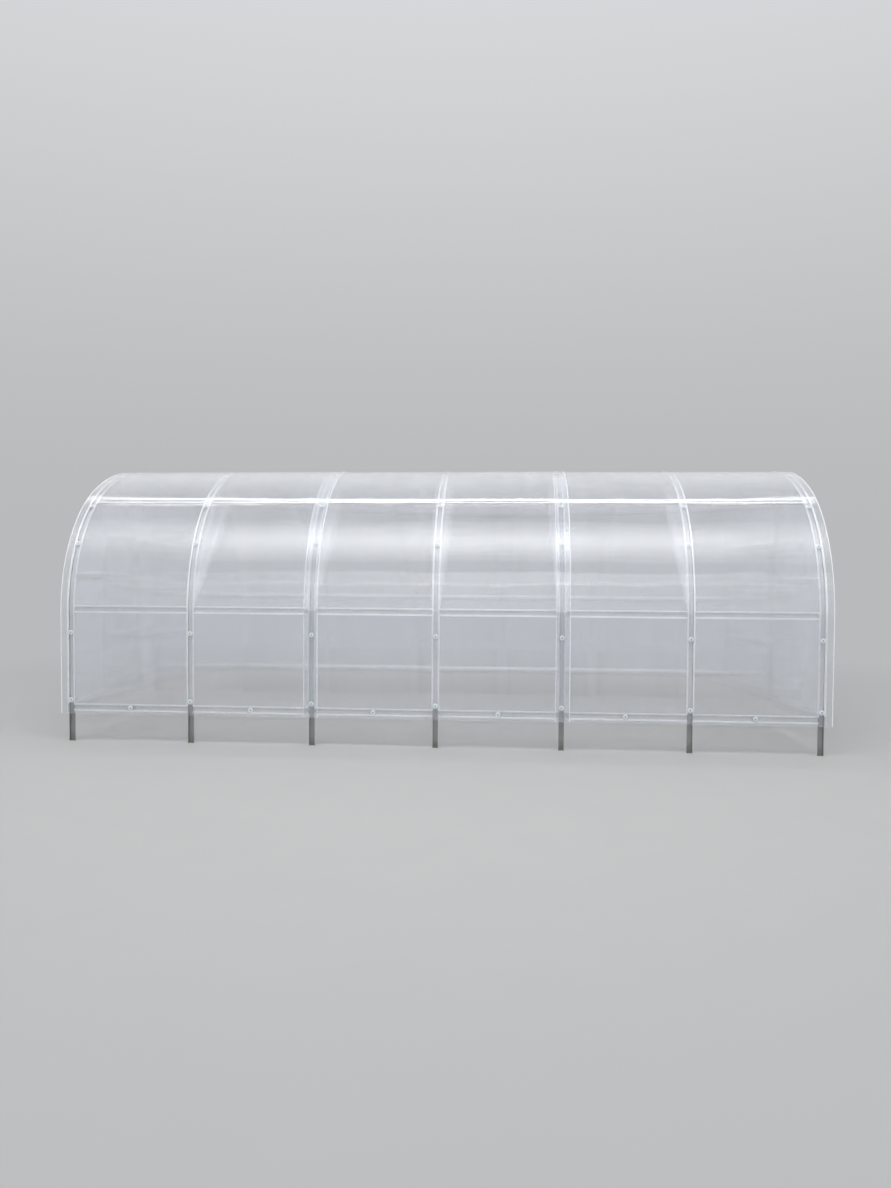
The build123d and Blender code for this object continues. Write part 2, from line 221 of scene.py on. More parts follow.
def surface(name, **sockets):
    """New material, its graph and its main shader."""
    material = bpy.data.materials.new(name)
    material.use_nodes = True
    graph = Graph(material.node_tree)
    shader = material.node_tree.nodes["Principled BSDF"]
    for key, value in sockets.items():
        shader.inputs[key.replace("_", " ").title().replace("Ior", "IOR")].default_value = value
    return material, graph, shader


def tone(value, tint=(1.0, 1.0, 1.0)):
    return (value * tint[0], value * tint[1], value * tint[2], 1.0)


# ---------------------------------------------------------------------------------------------
# Finishes


def zinc(name, light, roughness, groove="attribute", soil=0.0, metal=0.75):
    """Hot-dipped zinc: tilted crystals, cloudy patches, painted shade in the groove and, on legs, soil at the
    foot.

    The groove's depth comes from the hat profile's own attribute, from the distance to the end wall's
    face, or, on a plain strut or leg, from nothing but the cloudiness.
    """
    material, graph, shader = surface(name, metallic=metal)
    place = graph.add("ShaderNodeTexCoord").outputs["Object"]
    cells = {"Vector": place, "Scale": CRYSTALS_PER_METRE}
    crystals = graph.add("ShaderNodeTexVoronoi", cells).outputs["Color"]
    crystal = graph.parts(crystals)[0]
    cloud = graph.noise(place, 6.0, 4.0)
    grain = graph.noise(place, GRAIN_PER_METRE, 2.0)
    if groove == "attribute":
        depth = graph.add("ShaderNodeAttribute", attribute_name="groove").outputs["Fac"]
    elif groove == "end wall":
        across = graph.math("ABSOLUTE", graph.parts(place)[0])
        depth = graph.math("DIVIDE", graph.math("SUBTRACT", END_FACE, across), HAT_DEPTH)
    else:
        depth = graph.math("MULTIPLY", cloud, 0.12)
    # Painted shade: the groove's walls are darkened most and its floor half as much, where shade falls in the
    # recess.
    groove_shade = graph.ranged(depth, 0.02, 0.30)
    groove_shade = graph.math("MULTIPLY", groove_shade, graph.ranged(depth, 0.86, 0.95, 1.0, 0.50))
    shade = graph.math("ADD", graph.math("MULTIPLY", crystal, 0.45), graph.math("MULTIPLY", cloud, 0.55))
    colour = graph.mix(shade, tone(light * 0.80, BLUISH_ZINC), tone(light, PALE_ZINC))
    colour = graph.mix(graph.math("MULTIPLY", groove_shade, 0.75), colour, tone(light * 0.36, GROOVE_SHADE_ZINC))
    rough = graph.math("ADD", graph.math("MULTIPLY", crystal, 0.16), roughness)
    rough = graph.math("ADD", rough, graph.math("MULTIPLY", groove_shade, 0.10))
    if soil:
        height = graph.parts(place)[2]
        splash = graph.math("ADD", height, graph.math("MULTIPLY", graph.noise(place, 25.0, 6.0), -0.10))
        dirty = graph.math("MULTIPLY", graph.ranged(splash, 0.05, -0.05), soil)
        colour = graph.mix(dirty, colour, SPLASHED_SOIL)
        rough = graph.math("ADD", rough, graph.math("MULTIPLY", dirty, 0.4))
        bare = graph.math("SUBTRACT", metal, graph.math("MULTIPLY", dirty, metal))
        graph.feed(shader.inputs["Metallic"], bare)
    bump = graph.add("ShaderNodeBump", {"Height": grain, "Strength": 0.12, "Distance": 0.0004})
    facet = graph.scaled(graph.vector("SUBTRACT", crystals, (0.5, 0.5, 0.5)), CRYSTAL_TILT)
    graph.feed(shader.inputs["Base Color"], colour)
    graph.feed(shader.inputs["Roughness"], rough)
    normal = graph.vector("ADD", bump.outputs[0], facet)
    graph.feed(shader.inputs["Normal"], graph.vector("NORMALIZE", normal))
    return material


def clear_sheet(name, across):
    """Clear twin-wall sheet: flutes side by side along this axis smear what is behind them.

    Slow waves and draw lines bend its reflections, less so near the ridge. Its haze grows towards
    the edge-on view, as in the real sheet, where the webs between the flutes line up.
    """
    material, graph, shader = surface(name, transmission_weight=0.9, ior=PLASTIC_INDEX)
    place = graph.add("ShaderNodeTexCoord").outputs["Object"]
    span = graph.parts(place)[across]
    face = graph.add("ShaderNodeAttribute", attribute_name="face_side").outputs["Fac"]
    flute = graph.math("COSINE", graph.math("MULTIPLY", span, 2 * pi / FLUTE))
    tilt = graph.math("MULTIPLY", graph.math("MULTIPLY", flute, FLUTE_TILT), face)
    lean = graph.joined(tilt) if across == 0 else graph.joined(0.0, tilt)
    turned = {"vector_type": "VECTOR", "convert_from": "OBJECT", "convert_to": "WORLD"}
    lean = graph.add("ShaderNodeVectorTransform", {0: lean}, **turned).outputs[0]
    wave = graph.noise(graph.vector("MULTIPLY", place, (0.7, 1.0, 2.2)), 1.6, 2.0, "Color")
    wave = graph.scaled(graph.vector("SUBTRACT", wave, (0.5, 0.5, 0.5)), SLOW_WAVE)
    draw = graph.noise(graph.vector("MULTIPLY", place, (0.5, 3.0, 5.0)), 4.0, 3.0, "Color")
    draw = graph.scaled(graph.vector("SUBTRACT", draw, (0.5, 0.5, 0.5)), DRAW_LINES)
    normal = graph.add("ShaderNodeNewGeometry").outputs["Normal"]
    calm = graph.ranged(graph.math("ABSOLUTE", graph.parts(normal)[2]), 0.80, 0.99, 1.0, 0.25)
    ripples = graph.scaled(graph.vector("ADD", wave, draw), calm)
    normal = graph.vector("ADD", graph.vector("ADD", normal, lean), ripples)
    graph.feed(shader.inputs["Normal"], graph.vector("NORMALIZE", normal))
    web = graph.math("ABSOLUTE", graph.math("SINE", graph.math("MULTIPLY", span, pi / FLUTE)))
    web = graph.ranged(web, 0.42, 0.10)
    cloud = graph.noise(graph.vector("MULTIPLY", place, (3.0, 3.0, 0.5)), 2.0, 3.0)
    colour = graph.mix(cloud, CLEAR_TINT, CLEARER_TINT)
    colour = graph.mix(graph.math("MULTIPLY", web, 0.6), colour, WEB_TINT)
    graph.feed(shader.inputs["Base Color"], colour)
    graph.feed(shader.inputs["Roughness"], graph.ranged(cloud, 0.0, 1.0, 0.03, 0.07))
    facing = graph.add("ShaderNodeLayerWeight", {"Blend": 0.5}).outputs["Facing"]
    haze = graph.ranged(facing, 0.45, 1.0, HAZE_SQUARE_ON, HAZE_EDGE_ON)
    streak = graph.noise(graph.vector("MULTIPLY", place, STREAK[across]), 1.0, 4.0)
    streak = graph.math("MULTIPLY", graph.ranged(streak, 0.3, 0.7, -0.20, 0.25), calm)
    haze = graph.math("MULTIPLY", haze, graph.math("ADD", streak, 1.0))
    haze = graph.math("ADD", haze, graph.math("MULTIPLY", web, 0.06))
    graph.feed(shader.inputs["Transmission Weight"], graph.math("SUBTRACT", 1.0, haze))
    shadow = graph.add("ShaderNodeLightPath").outputs["Is Shadow Ray"]
    passed = graph.math("MULTIPLY", shadow, LIGHT_THROUGH_SHEET)
    graph.feed(shader.inputs["Alpha"], graph.math("SUBTRACT", 1.0, passed))
    return material


def cut_edge():
    """Sawn edge of the clear sheet, which gathers light and looks white; on the roof sheets' side flutes the
    same white is a painted highlight.
    """
    material, graph, shader = surface("sawn_sheet_edge", transmission_weight=0.25, ior=PLASTIC_INDEX)
    place = graph.add("ShaderNodeTexCoord").outputs["Object"]
    grain = graph.noise(place, 300.0, 2.0)
    colour = graph.mix(grain, (0.80, 0.84, 0.88, 1.0), (0.97, 0.98, 1.0, 1.0))
    graph.feed(shader.inputs["Base Color"], colour)
    graph.feed(shader.inputs["Roughness"], graph.ranged(grain, 0.2, 0.8, 0.18, 0.34))
    return material


def washer_plastic():
    """Weathered translucent plastic of the clamping washers."""
    material, graph, shader = surface("washer_plastic", transmission_weight=0.15, subsurface_weight=0.3)
    place = graph.add("ShaderNodeTexCoord").outputs["Object"]
    mottle = graph.noise(place, 90.0, 3.0)
    colour = graph.mix(mottle, (0.86, 0.88, 0.87, 1.0), (0.97, 0.98, 0.97, 1.0))
    graph.feed(shader.inputs["Base Color"], colour)
    graph.feed(shader.inputs["Roughness"], graph.ranged(mottle, 0.2, 0.8, 0.30, 0.45))
    return material


def screw_zinc(name, light):
    """Plated screws and fittings: brighter than the frame, with dull marks."""
    material, graph, shader = surface(name, metallic=1.0)
    place = graph.add("ShaderNodeTexCoord").outputs["Object"]
    marks = graph.noise(place, 160.0, 4.0)
    colour = graph.mix(marks, tone(light * 0.8, (0.97, 0.99, 1.0)), tone(light))
    graph.feed(shader.inputs["Base Color"], colour)
    graph.feed(shader.inputs["Roughness"], graph.ranged(marks, 0.25, 0.75, 0.22, 0.42))
    bump = graph.add("ShaderNodeBump", {"Height": marks, "Strength": 0.10, "Distance": 0.0003})
    graph.feed(shader.inputs["Normal"], bump.outputs[0])
    return material


# The end-wall and strut copies of the frame's zinc are painted lighter, a painted light that brightens those
# parts.
FRAME_ZINC = zinc("galvanised_hat_profile", 0.92, 0.36, metal=0.35)
LIGHTENED_END_ZINC = zinc("galvanised_end_wall", 1.0, 0.36, "end wall", metal=0.25)
LIGHTENED_STRUT_ZINC = zinc("galvanised_strut", 1.0, 0.34, "plain", metal=0.1)
LEG_ZINC = zinc("dull_leg_zinc", 0.40, 0.45, "plain", soil=0.6)
ROOF_SHEET_CLEAR = clear_sheet("clear_roof_sheet", 0)
END_SHEET_CLEAR = clear_sheet("clear_end_sheet", 1)
SAWN_EDGE_AND_HIGHLIGHT = cut_edge()
WASHER = washer_plastic()
SCREW = screw_zinc("screw_zinc", 0.50)
FITTING = screw_zinc("fitting_zinc", 0.72)


# ---------------------------------------------------------------------------------------------
# Pieces made by geometry trees


def geometry_tree(name, sizes):
    """New geometry tree with its named inputs, and its graph and input sockets."""
    tree = bpy.data.node_groups.new(name, "GeometryNodeTree")
    tree.interface.new_socket("Geometry", in_out="INPUT", socket_type="NodeSocketGeometry")
    for size, value in sizes.items():
        kind = "NodeSocketInt" if isinstance(value, int) else "NodeSocketFloat"
        tree.interface.new_socket(size, in_out="INPUT", socket_type=kind).default_value = value
    tree.interface.new_socket("Finish", in_out="INPUT", socket_type="NodeSocketMaterial")
    tree.interface.new_socket("Geometry", in_out="OUTPUT", socket_type="NodeSocketGeometry")
    graph = Graph(tree)
    return tree, graph, graph.add("NodeGroupInput").outputs


def close_tree(graph, shape, finish):
    """Ends a geometry tree with a realised mesh in its finish."""
    real = graph.add("GeometryNodeRealizeInstances", {0: shape}).outputs[0]
    dressed = graph.add("GeometryNodeSetMaterial", {"Geometry": real, "Material": finish}).outputs[0]
    graph.add("NodeGroupOutput", {0: dressed})


def hat_tree():
    """Tree that carries the hat profile along every path of its mesh."""
    sizes = {"Width": HAT_WIDTH, "Depth": HAT_DEPTH, "Flange": HAT_FLANGE}
    sizes.update({"Steel": HAT_STEEL, "Bend": HAT_BEND})
    tree, graph, given = geometry_tree("hat profile on paths", sizes)
    edge = graph.math("MULTIPLY", given["Width"], 0.5)
    wall = graph.math("SUBTRACT", edge, given["Flange"])
    inside = graph.math("SUBTRACT", wall, given["Steel"])
    below = graph.math("MULTIPLY", given["Steel"], -1.0)
    floor = graph.math("MULTIPLY", given["Depth"], -1.0)
    web_top = graph.math("ADD", floor, given["Steel"])
    outer_bend = graph.math("ADD", given["Bend"], given["Steel"])
    index = graph.add("GeometryNodeInputIndex").outputs[0]
    mirrored = graph.math("GREATER_THAN", index, 5.5)
    corner = graph.math("MINIMUM", index, graph.math("SUBTRACT", 11.0, index))
    side = graph.math("SUBTRACT", 1.0, graph.math("MULTIPLY", mirrored, 2.0))

    def pick(values):
        node = graph.add("GeometryNodeIndexSwitch", data_type="FLOAT")
        while len(node.index_switch_items) < len(values):
            node.index_switch_items.new()
        graph.feed(node.inputs["Index"], corner)
        for number, value in enumerate(values):
            graph.feed(node.inputs[number + 1], value)
        return node.outputs[0]

    out = pick([web_top, 0.0, 0.0, below, below, floor])
    off = graph.math("MULTIPLY", pick([inside, inside, edge, edge, wall, wall]), side)
    bend = pick([given["Bend"], outer_bend, 0.0, 0.0, given["Bend"], outer_bend])
    line = graph.add("GeometryNodeCurvePrimitiveLine").outputs[0]
    points = graph.add("GeometryNodeResampleCurve", {"Curve": line, "Count": 12}, mode="COUNT").outputs[0]
    corners = {"Geometry": points, "Position": graph.joined(out, off)}
    points = graph.add("GeometryNodeSetPosition", corners).outputs[0]
    loop = graph.add("GeometryNodeSetSplineCyclic", {0: points, "Cyclic": True}).outputs[0]
    fillet = {"Curve": loop, "Count": 2, "Radius": bend, "Limit Radius": True}
    loop = graph.add("GeometryNodeFilletCurve", fillet, mode="POLY").outputs[0]
    height = graph.parts(graph.add("GeometryNodeInputPosition").outputs[0])[0]
    groove = {"Geometry": loop, "Name": "groove", "Value": graph.math("DIVIDE", height, floor)}
    loop = graph.add("GeometryNodeStoreNamedAttribute", groove).outputs[0]
    paths = graph.add("GeometryNodeMeshToCurve", {0: given["Geometry"]}).outputs[0]
    upright = {"Curve": paths, "Normal": graph.outward()}
    paths = graph.add("GeometryNodeSetCurveNormal", upright, mode="FREE").outputs[0]
    swept = {"Curve": paths, "Profile Curve": loop, "Fill Caps": True}
    close_tree(graph, graph.add("GeometryNodeCurveToMesh", swept).outputs[0], given["Finish"])
    return tree


def on_points(graph, points, shape, turned):
    """Puts a shape on every point, standing along its outward direction, turned by chance or not."""
    stand = graph.add("FunctionNodeAlignRotationToVector", {"Vector": graph.outward()}, axis="Z").outputs[0]
    chance = {"Min": (0.0, 0.0, 0.0), "Max": (0.0, 0.0, turned), "Seed": 7}
    spin = graph.add("FunctionNodeRandomValue", chance, data_type="FLOAT_VECTOR").outputs[0]
    spin = graph.add("FunctionNodeEulerToRotation", {0: spin}).outputs[0]
    stand = graph.add("FunctionNodeRotateRotation", {0: stand, 1: spin}, rotation_space="LOCAL").outputs[0]
    placed = {"Points": points, "Instance": shape, "Rotation": stand}
    return graph.add("GeometryNodeInstanceOnPoints", placed).outputs[0]


def cone(graph, sides, low, high, height, lift):
    """Closed cone or disc standing on a height."""
    sockets = {"Vertices": sides, "Radius Bottom": low, "Radius Top": high, "Depth": height}
    shape = graph.add("GeometryNodeMeshCone", sockets, fill_type="NGON").outputs["Mesh"]
    lifted = {0: shape, "Translation": graph.joined(0.0, 0.0, lift)}
    return graph.add("GeometryNodeTransform", lifted).outputs[0]


def join(graph, shapes):
    """Several shapes as one."""
    node = graph.add("GeometryNodeJoinGeometry")
    for shape in shapes:
        graph.tree.links.new(shape, node.inputs[0])
    return node.outputs[0]


def washer_tree():
    """Tree that puts a domed clamping washer on every point."""
    sizes = {"Radius": 0.020, "Rim": 0.0014, "Hub Radius": 0.0085, "Hub Height": 0.0022}
    tree, graph, given = geometry_tree("clamping washers", sizes)
    radius, rim = given["Radius"], given["Rim"]
    dome = graph.math("MULTIPLY", given["Hub Height"], 0.6)
    collar = graph.math("MULTIPLY", given["Hub Height"], 0.4)
    edge, dome_foot, dome_top = (graph.math("MULTIPLY", radius, share) for share in (0.97, 0.90, 0.60))
    hub_foot = graph.math("MULTIPLY", given["Hub Radius"], 1.12)
    shapes = [
        cone(graph, 28, radius, edge, rim, 0.0),
        cone(graph, 28, dome_foot, dome_top, dome, rim),
        cone(graph, 20, hub_foot, given["Hub Radius"], collar, graph.math("ADD", rim, dome)),
    ]
    close_tree(graph, on_points(graph, given["Geometry"], join(graph, shapes), 0.0), given["Finish"])
    return tree


def screw_tree():
    """Tree that puts a flanged screw head on every point."""
    sizes = {"Flange Radius": 0.0062, "Flange": 0.0010, "Head Radius": 0.0046, "Head": 0.0040}
    sizes.update({"Sides": 6, "Lift": 0.0})
    tree, graph, given = geometry_tree("screw heads", sizes)
    head, sides = given["Head Radius"], given["Sides"]
    flange_top = graph.math("ADD", given["Lift"], given["Flange"])
    shaft = graph.math("MULTIPLY", given["Head"], 0.82)
    flange_edge = graph.math("MULTIPLY", given["Flange Radius"], 0.88)
    crown_edge = graph.math("MULTIPLY", head, 0.84)
    crown = graph.math("SUBTRACT", given["Head"], shaft)
    shapes = [
        cone(graph, 16, given["Flange Radius"], flange_edge, given["Flange"], given["Lift"]),
        cone(graph, sides, head, head, shaft, flange_top),
        cone(graph, sides, head, crown_edge, crown, graph.math("ADD", flange_top, shaft)),
    ]
    close_tree(graph, on_points(graph, given["Geometry"], join(graph, shapes), pi), given["Finish"])
    return tree


def show(name, mesh):
    """Puts a mesh in the scene as an object at the origin."""
    piece = bpy.data.objects.new(name, mesh)
    bpy.context.scene.collection.objects.link(piece)
    return piece


def guide(name, runs):
    """Mesh of bare paths: each run is a list of places with their outward directions."""
    mesh = bpy.data.meshes.new(name)
    places, links = [], []
    for run in runs:
        first = len(places)
        places += run
        links += [(first + i, first + i + 1) for i in range(len(run) - 1)]
    mesh.from_pydata([place for place, _ in places], links, [])
    outward = mesh.attributes.new("outward", "FLOAT_VECTOR", "POINT")
    for item, (_, direction) in zip(outward.data, places):
        item.vector = direction
    return mesh


def grow(name, tree, runs, finish, body, slot, replaced=(), **sizes):
    """Runs a tree on paths or points, and keeps the result as a plain mesh on its body."""
    seed = show(name + "_guide", guide(name + "_guide", runs))
    modifier = seed.modifiers.new("tree", "NODES")
    modifier.node_group = tree
    sizes["Finish"] = finish
    for item in tree.interface.items_tree:
        if item.in_out == "INPUT" and item.name.replace(" ", "_") in sizes or item.name == "Finish":
            modifier[item.identifier] = sizes[item.name.replace(" ", "_")]
    graph = bpy.context.evaluated_depsgraph_get()
    mesh = bpy.data.meshes.new_from_object(seed.evaluated_get(graph), depsgraph=graph)
    seed.modifiers.remove(modifier)
    bpy.data.objects.remove(seed)
    mesh.materials.clear()
    mesh.materials.append(finish)
    mesh.polygons.foreach_set("material_index", [0] * len(mesh.polygons))
    mesh.shade_smooth()
    mesh.set_sharp_from_angle(angle=CREASE)
    fit(show(name, mesh), body, replaced)


def fit(piece, body, replaced=()):
    """Ties a finished piece to its body and the nodes that it stands for."""
    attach(piece, body)
    if replaced:
        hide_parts(*replaced)


def arch_runs(x):
    """The lengths of one arch, which meet at its joints."""
    stops = [ARCH_FOOT, LOW_JOINT_AT, HIGH_JOINT_AT]
    stops += [2 * HALF_GIRTH - stop for stop in reversed(stops)]
    runs = []
    for low, high in zip(stops, stops[1:]):
        low_gap = 0.0 if low == stops[0] else JOINT_GAP / 2
        high_gap = 0.0 if high == stops[-1] else JOINT_GAP / 2
        run = [arch_line(along) for along in spread(low + low_gap, high - high_gap, ARCH_STEP)]
        runs.append([(place + Vector((x, 0, 0)), outward) for place, outward in run])
    return runs


def flat_drop(along):
    """How far a purlin's flat face lies under the curve of the sheet."""
    if along <= WALL_HEIGHT - HAT_WIDTH / 2:
        return 0.0
    radius = SHOULDER_RADIUS if along <= WALL_HEIGHT + SHOULDER_LENGTH else CROWN_RADIUS
    return PURLIN_UNDER_CURVE + radius - sqrt(radius**2 - (HAT_WIDTH / 2) ** 2)


def purlin_runs(along, end_gap):
    """One purlin in each bay, between the arches."""
    drop = flat_drop(min(along, 2 * HALF_GIRTH - along))
    place, outward = arch_line(along, -drop)
    runs = []
    for left, right in zip(ARCHES, ARCHES[1:]):
        ends = (left + end_gap, right - end_gap)
        runs.append([(place + Vector((x, 0, 0)), outward) for x in ends])
    return runs


def level_run(side, reach, z):
    """Straight rail across an end wall."""
    return [(Vector((side * END_FACE, y, z)), Vector((side, 0, 0))) for y in (-reach, reach)]


HAT = hat_tree()
for number, x in enumerate(ARCHES, 1):
    grow(f"arch_bar_{number}", HAT, arch_runs(x), FRAME_ZINC, "frame", "galvanised_steel", [f"arch_{number}"])

at_leg = LEG_SIDE + SEAT
at_arch = HAT_WIDTH / 2 + SEAT
around = 2 * HALF_GIRTH
LINES = {
    "base_rail_front": (0.0, at_leg),
    "base_rail_back": (around, at_leg),
    "mid_purlin_front": (MID_PURLIN_AT, at_arch),
    "mid_purlin_back": (around - MID_PURLIN_AT, at_arch),
    "upper_purlin_front": (UPPER_PURLIN_AT, at_arch),
    "upper_purlin_back": (around - UPPER_PURLIN_AT, at_arch),
    "ridge_purlin": (HALF_GIRTH, at_arch),
}
for name, (along, gap) in LINES.items():
    grow(f"{name}_bars", HAT, purlin_runs(along, gap), FRAME_ZINC, "frame", "galvanised_steel", [name])

ENDS = {"left": -1, "right": 1}
for end, side in ENDS.items():
    runs = [level_run(side, CORNER_REACH, RAIL_HEIGHT)]
    grow(f"{end}_end_rail_bar", HAT, runs, FRAME_ZINC, "frame", "galvanised_steel", [f"{end}_end_rail"])
    runs = [level_run(side, DOORWAY - SEAT, LINTEL_Z)]
    grow(f"{end}_lintel_bar", HAT, runs, FRAME_ZINC, "frame", "galvanised_steel", [f"{end}_lintel"])


# ---------------------------------------------------------------------------------------------
# Clear sheets


def bulge(x, along):
    """How far a roof sheet stands off between arches and purlins."""
    run = min(along, 2 * HALF_GIRTH - along)
    if not 0 < run or abs(x) > HALF_LENGTH:
        return 0.0
    lines = [0.0, MID_PURLIN_AT, UPPER_PURLIN_AT, HALF_GIRTH]
    share = next((run - a) / (b - a) for a, b in zip(lines, lines[1:]) if run <= b + 1e-6)
    bay = sin(pi * (x + HALF_LENGTH) / BAY) ** 2
    uneven = 1.0 + 0.5 * sin(2.3 * x + 1.7 * along) + 0.3 * sin(5.1 * x - 2.9 * along)
    return BULGE * bay * sin(pi * share) ** 2 * max(0.2, uneven)


def slab(name, inner, outer, columns, rows, material):
    """Closed sheet from two grids of points, with white sawn edges and, at each side, a closed flute painted
    white as a highlight.
    """
    mesh = bpy.data.meshes.new(name)
    count = columns * rows
    points = inner + outer
    faces = []
    # The outermost flute on each side gets the white edge finish, a painted highlight along its closed rib.
    for i in list(range(1, columns - 2)) + [0, columns - 2]:
        if i == 0:
            plain = len(faces)
        for j in range(rows - 1):
            a, b = i * rows + j, (i + 1) * rows + j
            faces.append((a, a + 1, b + 1, b))
            faces.append((count + a, count + b, count + b + 1, count + a + 1))
    ring = [i * rows for i in range(columns)]
    ring += [(columns - 1) * rows + j for j in range(1, rows)]
    ring += [i * rows + rows - 1 for i in range(columns - 2, -1, -1)]
    ring += [j for j in range(rows - 2, 0, -1)]
    for a, b in zip(ring, ring[1:] + ring[:1]):
        faces.append((a, b, count + b, count + a))
    finish_sheet(mesh, points, faces, plain, count, material)
    return mesh


def finish_sheet(mesh, points, faces, plain, inner_count, material):
    """Fills a sheet's mesh, its two materials and the mark that tells inner from outer face."""
    mesh.from_pydata(points, [], faces)
    mesh.materials.append(material)
    mesh.materials.append(SAWN_EDGE_AND_HIGHLIGHT)
    for number, polygon in enumerate(mesh.polygons):
        polygon.material_index = 1 if number >= plain else 0
    mark = mesh.attributes.new("face_side", "FLOAT", "POINT")
    for number, item in enumerate(mark.data):
        item.value = -1.0 if number < inner_count else 1.0
    mesh.shade_smooth()
    mesh.set_sharp_from_angle(angle=CREASE)
    mesh.update()


def roof_sheet(order):
    """Grids for roof sheet 0, 1 or 2 from the left, each lapped over the next to its right."""
    left = -HALF_LENGTH - OVERHANG + order * (ROOF_SHEET - LAP)
    slope = ROOF_SLOPE if order < 2 else 0.0
    right = left + ROOF_SHEET
    columns = [left] + spread(left + FLUTE, right - FLUTE, SHEET_STEP) + [right]
    rows = spread(-BELOW_RAIL, around + BELOW_RAIL, ARCH_STEP)
    inner, outer = [], []
    for x in columns:
        for along in rows:
            rise = SEAT + slope * (x - left) + bulge(x, along)
            place, outward = arch_line(along, rise)
            place.x = x
            inner.append(place)
            outer.append(place + SHEET * outward)
    return inner, outer, len(columns), len(rows)


def roof_top(x, along):
    """Height of the topmost roof sheet's outer face over the line of the arch."""
    for order in range(3):
        left = -HALF_LENGTH - OVERHANG + order * (ROOF_SHEET - LAP)
        if x <= left + ROOF_SHEET:
            slope = ROOF_SLOPE if order < 2 else 0.0
            return SEAT + slope * (x - left) + bulge(x, along) + SHEET


for order, place_name in enumerate(("left", "middle", "right")):
    inner, outer, columns, rows = roof_sheet(order)
    name = f"{place_name}_roof_cladding"
    piece = show(name, slab(name, inner, outer, columns, rows, ROOF_SHEET_CLEAR))
    fit(piece, "frame", [f"roof_sheet_{place_name}"])


def flat_panel(name, outline, side, body, node):
    """Flat end-wall sheet with this outline in Y and Z, seen from outside at the right end."""
    mesh = bpy.data.meshes.new(name)
    inner = [Vector((side * (END_FACE + SEAT), side * y, z)) for y, z in outline]
    outer = [Vector((side * END_OUTER, side * y, z)) for y, z in outline]
    count = len(outline)
    faces = [tuple(range(count - 1, -1, -1)), tuple(range(count, 2 * count))]
    faces += [(i, (i + 1) % count, count + (i + 1) % count, count + i) for i in range(count)]
    finish_sheet(mesh, inner + outer, faces, 2, count, END_SHEET_CLEAR)
    fit(show(name, mesh), body, [node])


def side_outline(hinge_side):
    """Outline of an end panel beside the door, on the hinge side or the handle side."""
    low = RAIL_HEIGHT - BELOW_RAIL
    stop = HALF_GIRTH - asin(DOORWAY / CROWN_RADIUS) * CROWN_RADIUS
    line = [arch_line(along, -ROOF_TO_PANE)[0] for along in spread(-BELOW_RAIL, stop, ARCH_STEP)]
    outline = [(-place.y, place.z) for place in line] + [(DOORWAY, low)]
    return outline if hinge_side else [(-y, z) for y, z in reversed(outline)]


def top_outline():
    """Outline of the end panel over the door."""
    reach = DOORWAY - SEAT
    low = LINTEL_Z - HAT_WIDTH / 2
    radius = CROWN_RADIUS - ROOF_TO_PANE
    turn = asin(reach / radius)
    curve = [(-radius * sin(angle), CROWN_Z + radius * cos(angle)) for angle in spread(-turn, turn, 0.02)]
    return [(-reach, low), (reach, low)] + curve


DOOR_OUTLINE = [(-DOOR_HALF, DOOR_BOTTOM), (DOOR_HALF, DOOR_BOTTOM)]
DOOR_OUTLINE += [(DOOR_HALF, DOOR_TOP), (-DOOR_HALF, DOOR_TOP)]
for end, side in ENDS.items():
    flat_panel(f"{end}_hinge_side_pane", side_outline(True), side, "frame", f"{end}_end_panel_near_hinges")
    flat_panel(f"{end}_handle_side_pane", side_outline(False), side, "frame", f"{end}_end_panel_near_handle")
    flat_panel(f"{end}_pane_over_door", top_outline(), side, "frame", f"{end}_end_panel_over_door")
    flat_panel(f"{end}_door_pane", DOOR_OUTLINE, side, f"{end}_door", f"{end}_door_sheet")


# ---------------------------------------------------------------------------------------------
# Washers and screws


ARCH_WASHERS = [0.06, 0.615, 1.37, 1.787, 2.43, 2.87]
RAIL_SCREW_OFFSET = 0.034
RAIL_SCREW_DROP = 0.015
WASHER_TOP = 0.0036
POST_WASHERS = (0.42, 0.80, 1.18, 1.56, 1.94)
SIDE_RAIL_WASHERS = (0.80, 1.12)
END_RAIL_WASHERS = (0.70, 1.05, 1.38)
LINTEL_WASHER = 0.32
STILE_Y = 0.465
HINGE_STILE_WASHERS = (0.345, 0.60, 0.83, 1.215, 1.40, 1.595)
HANDLE_STILE_WASHERS = (0.345, 0.68, 0.97, 1.26, 1.595)
DOOR_RAIL_WASHERS = (0.345, 0.76, 1.215, 1.595)
HINGE_AXIS_Y = 0.4975
HINGE_FROM_EDGE = 0.19
HINGE_PLATE_FACE = SEAT + 0.002
HINGE_SCREWS = ((0.014, 0.034), (0.028, 0.018), (0.014, -0.034), (0.028, -0.018))
PAN_HEAD = {"Flange_Radius": 0.0050, "Flange": 0.0012, "Head_Radius": 0.0040, "Head": 0.0014, "Sides": 12}


def roof_point(x, along):
    """Place on the outer face of the roof sheets, as a run of one point."""
    place, outward = arch_line(along, roof_top(x, along))
    place.x = x
    return [(place, outward)]


def end_point(side, y, z, rise=0.0):
    """Place on the outer face of an end wall, given as at the right end."""
    return [(Vector((side * (END_OUTER + rise), side * y, z)), Vector((side, 0, 0)))]


WASHERS = washer_tree()
SCREWS = screw_tree()

